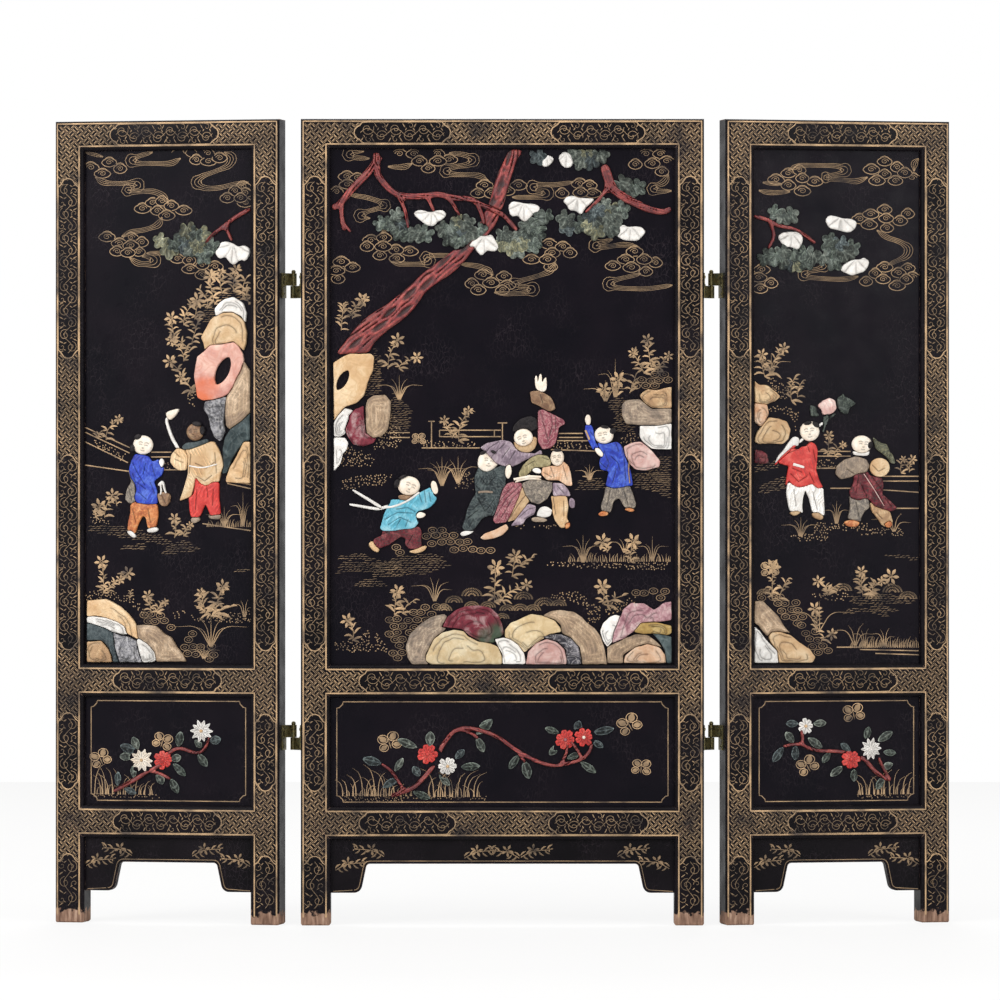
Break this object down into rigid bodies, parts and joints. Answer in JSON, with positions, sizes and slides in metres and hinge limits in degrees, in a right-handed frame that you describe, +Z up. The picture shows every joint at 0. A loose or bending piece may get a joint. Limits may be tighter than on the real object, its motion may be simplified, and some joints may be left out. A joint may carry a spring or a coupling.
{
  "type": "three-leaf folding screen",
  "caption": "Black lacquered folding screen with carved stones applied to its panels and gold painted ornament.",
  "frame": {"origin": "on the floor, under the middle of the box round the screen at rest", "axes": "+Z up, +X to the viewer's right along the centre leaf, -Y out of the decorated faces"},
  "size_m": [1.1164, 0.0968, 1],
  "materials": {
    "black_lacquer": "worn black lacquer with gold diaper",
    "panel_lacquer": "worn brown-black lacquer",
    "coral_red_stone": "carved and polished",
    "grey_green_stone": "carved, dull",
    "white_stone": "carved and polished",
    "rock_stone": "polished, mixed colours",
    "robe_stone": "polished, mixed colours",
    "old_brass": "dark patina",
    "gold_leaf": "worn gold on lacquer",
    "worn_wood": "bare worn wood at the feet"
  },
  "bodies": {
    "centre_leaf": {"centre_left_stile": "black_lacquer", "centre_right_stile": "black_lacquer", "centre_top_rail": "black_lacquer", "centre_middle_rail": "black_lacquer", "centre_bottom_rail": "black_lacquer", "centre_main_panel": "panel_lacquer", "centre_lower_panel": "panel_lacquer", "centre_apron": "black_lacquer", "centre_trunk": "coral_red_stone", "centre_branches": "coral_red_stone", "centre_foliage": "grey_green_stone", "centre_blossoms": "white_stone", "centre_rocks": "rock_stone", "centre_figures": "robe_stone", "centre_spray_stem": "coral_red_stone", "centre_spray_leaves": "grey_green_stone", "centre_spray_flowers": "white_stone", "left_hinge_fixed_plates": "old_brass", "left_hinge_pins": "old_brass", "right_hinge_fixed_plates": "old_brass", "right_hinge_pins": "old_brass"},
    "left_wing": {"left_outer_stile": "black_lacquer", "left_hinge_stile": "black_lacquer", "left_top_rail": "black_lacquer", "left_middle_rail": "black_lacquer", "left_bottom_rail": "black_lacquer", "left_main_panel": "panel_lacquer", "left_lower_panel": "panel_lacquer", "left_apron": "black_lacquer", "left_branches": "coral_red_stone", "left_foliage": "grey_green_stone", "left_blossoms": "white_stone", "left_rocks": "rock_stone", "left_figures": "robe_stone", "left_spray_stem": "coral_red_stone", "left_spray_leaves": "grey_green_stone", "left_spray_flowers": "white_stone", "left_hinge_wing_plates": "old_brass"},
    "right_wing": {"right_hinge_stile": "black_lacquer", "right_outer_stile": "black_lacquer", "right_top_rail": "black_lacquer", "right_middle_rail": "black_lacquer", "right_bottom_rail": "black_lacquer", "right_main_panel": "panel_lacquer", "right_lower_panel": "panel_lacquer", "right_apron": "black_lacquer", "right_branches": "coral_red_stone", "right_foliage": "grey_green_stone", "right_blossoms": "white_stone", "right_rocks": "rock_stone", "right_figures": "robe_stone", "right_spray_stem": "coral_red_stone", "right_spray_leaves": "grey_green_stone", "right_spray_flowers": "white_stone", "right_hinge_wing_plates": "old_brass"}
  },
  "joints": [
    {"name": "left_wing_fold", "type": "hinge", "parent": "centre_leaf", "child": "left_wing", "pos_m": [-0.26, -0.01189, 0.5], "axis": [0, 0, -1], "range_deg": [-37, 166]},
    {"name": "right_wing_fold", "type": "hinge", "parent": "centre_leaf", "child": "right_wing", "pos_m": [0.26, -0.01189, 0.5], "axis": [0, 0, 1], "range_deg": [-37, 154]}
  ]
}
